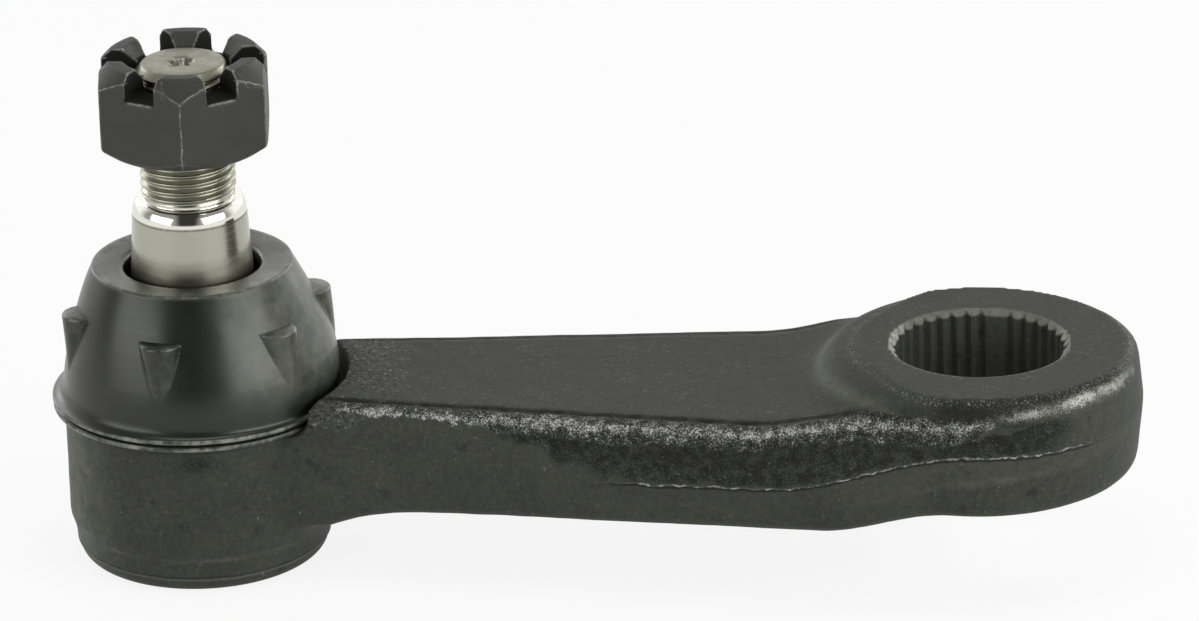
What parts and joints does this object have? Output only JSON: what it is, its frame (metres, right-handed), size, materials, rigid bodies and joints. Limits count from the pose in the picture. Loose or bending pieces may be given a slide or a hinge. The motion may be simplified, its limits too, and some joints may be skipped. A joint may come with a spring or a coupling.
{
  "type": "pitman arm",
  "caption": "Forged steering arm with a splined eye at one end and a ball stud with dust boot and slotted nut at the other.",
  "frame": {"origin": "on the axis of the splined bore, halfway through the eye", "axes": "+Z along the splined bore and up along the ball stud; the arm lies along -X from the eye to the socket"},
  "size_m": [0.1834, 0.0548, 0.0886],
  "materials": {
    "black_paint": "satin black paint over a forged skin",
    "bright_steel": "turned and polished",
    "dark_steel": "dark phosphate",
    "boot_rubber": "satin moulded rubber",
    "bearing_plastic": "moulded",
    "spring_steel": "hardened"
  },
  "bodies": {
    "arm": {"arm_forging": "black_paint", "cover_plate": "dark_steel", "preload_spring": "spring_steel"},
    "bearing": {"upper_bearing": "bearing_plastic", "lower_bearing": "bearing_plastic", "dust_boot": "boot_rubber"},
    "stud": {"ball_stud": "bright_steel"},
    "nut": {"castle_nut": "dark_steel"}
  },
  "joints": [
    {"name": "stud_spin", "type": "hinge", "parent": "arm", "child": "bearing", "pos_m": [-0.1315, 0, -0.0097], "axis": [0, 0, 1], "continuous": true},
    {"name": "stud_swing", "type": "hinge", "parent": "bearing", "child": "stud", "pos_m": [-0.1315, 0, -0.0097], "axis": [0, 1, 0], "range_deg": [-15, 15], "deforming": ["dust_boot"]},
    {"name": "nut_turn", "type": "hinge", "parent": "stud", "child": "nut", "pos_m": [-0.1315, 0, 0.0447], "axis": [0, 0, 1], "continuous": true}
  ]
}
